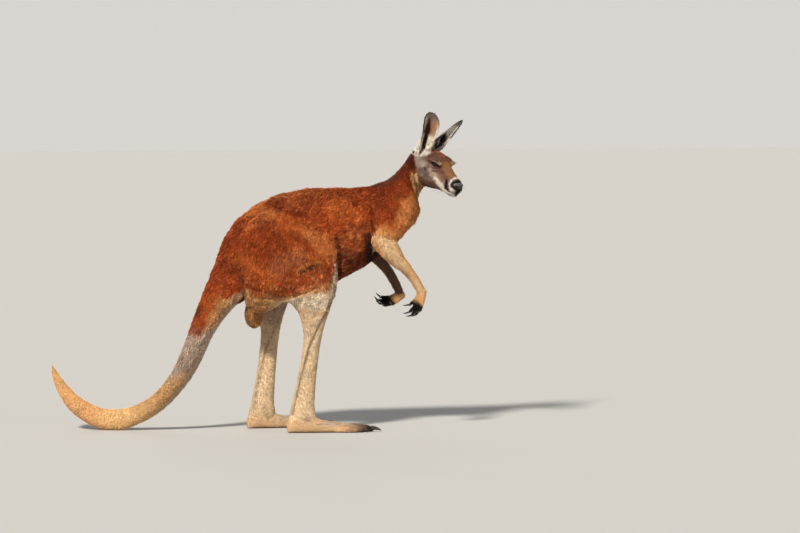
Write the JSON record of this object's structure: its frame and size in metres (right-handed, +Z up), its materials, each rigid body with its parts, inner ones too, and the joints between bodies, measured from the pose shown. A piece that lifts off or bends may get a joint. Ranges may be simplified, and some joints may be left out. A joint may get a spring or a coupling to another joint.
{
  "type": "red kangaroo, life-size still model",
  "caption": "Adult male red kangaroo standing on its hind feet and the bend of its tail, back level, forearms hanging, head turned to its right, ears up.",
  "frame": {"origin": "on the floor, under the middle of the box round the whole animal", "axes": "+X the way the trunk faces, +Y to the animal's left, +Z up; the head is turned to -Y"},
  "size_m": [1.4806, 0.367, 1.1405],
  "materials": {
    "russet_coat": "short woolly fur, rusty red with darker flecks",
    "fawn_coat": "short flat fur, cream to buff",
    "grey_red_coat": "short fur, red turning lilac grey",
    "sandy_coat": "short flat fur, ochre",
    "face_coat": "very short fur, blue grey cheeks, red brown bridge, white cheek stripe",
    "ear_coat": "thin fur, grey back, brown channel, black rim",
    "black_coat": "short black fur on the fingers",
    "scrotum_coat": "thin tan fur",
    "claw_horn": "dark polished horn",
    "nose_skin": "moist black pebbled skin",
    "eye_wet": "wet dark brown"
  },
  "bodies": {
    "root": {"torso": "russet_coat", "tail_base": "russet_coat", "tail_middle": "grey_red_coat", "tail_end": "sandy_coat", "tail_tip": "sandy_coat", "head": "face_coat", "nose": "nose_skin", "eye_right": "eye_wet", "eye_left": "eye_wet", "ear_right": "ear_coat", "ear_left": "ear_coat", "neck": "russet_coat", "thigh_right": "russet_coat", "shank_right": "fawn_coat", "foot_right": "fawn_coat", "claw_toe_2_right": "claw_horn", "claw_toe_3_right": "claw_horn", "claw_toe_4_right": "claw_horn", "claw_toe_5_right": "claw_horn", "thigh_left": "russet_coat", "shank_left": "fawn_coat", "foot_left": "fawn_coat", "claw_toe_2_left": "claw_horn", "claw_toe_3_left": "claw_horn", "claw_toe_4_left": "claw_horn", "claw_toe_5_left": "claw_horn", "upper_arm_right": "russet_coat", "forearm_right": "fawn_coat", "hand_right": "black_coat", "claw_hand_1_right": "claw_horn", "claw_hand_2_right": "claw_horn", "claw_hand_3_right": "claw_horn", "claw_hand_4_right": "claw_horn", "claw_hand_5_right": "claw_horn", "upper_arm_left": "russet_coat", "forearm_left": "fawn_coat", "hand_left": "black_coat", "claw_hand_1_left": "claw_horn", "claw_hand_2_left": "claw_horn", "claw_hand_3_left": "claw_horn", "claw_hand_4_left": "claw_horn", "claw_hand_5_left": "claw_horn", "scrotum": "scrotum_coat"}
  },
  "joints": []
}
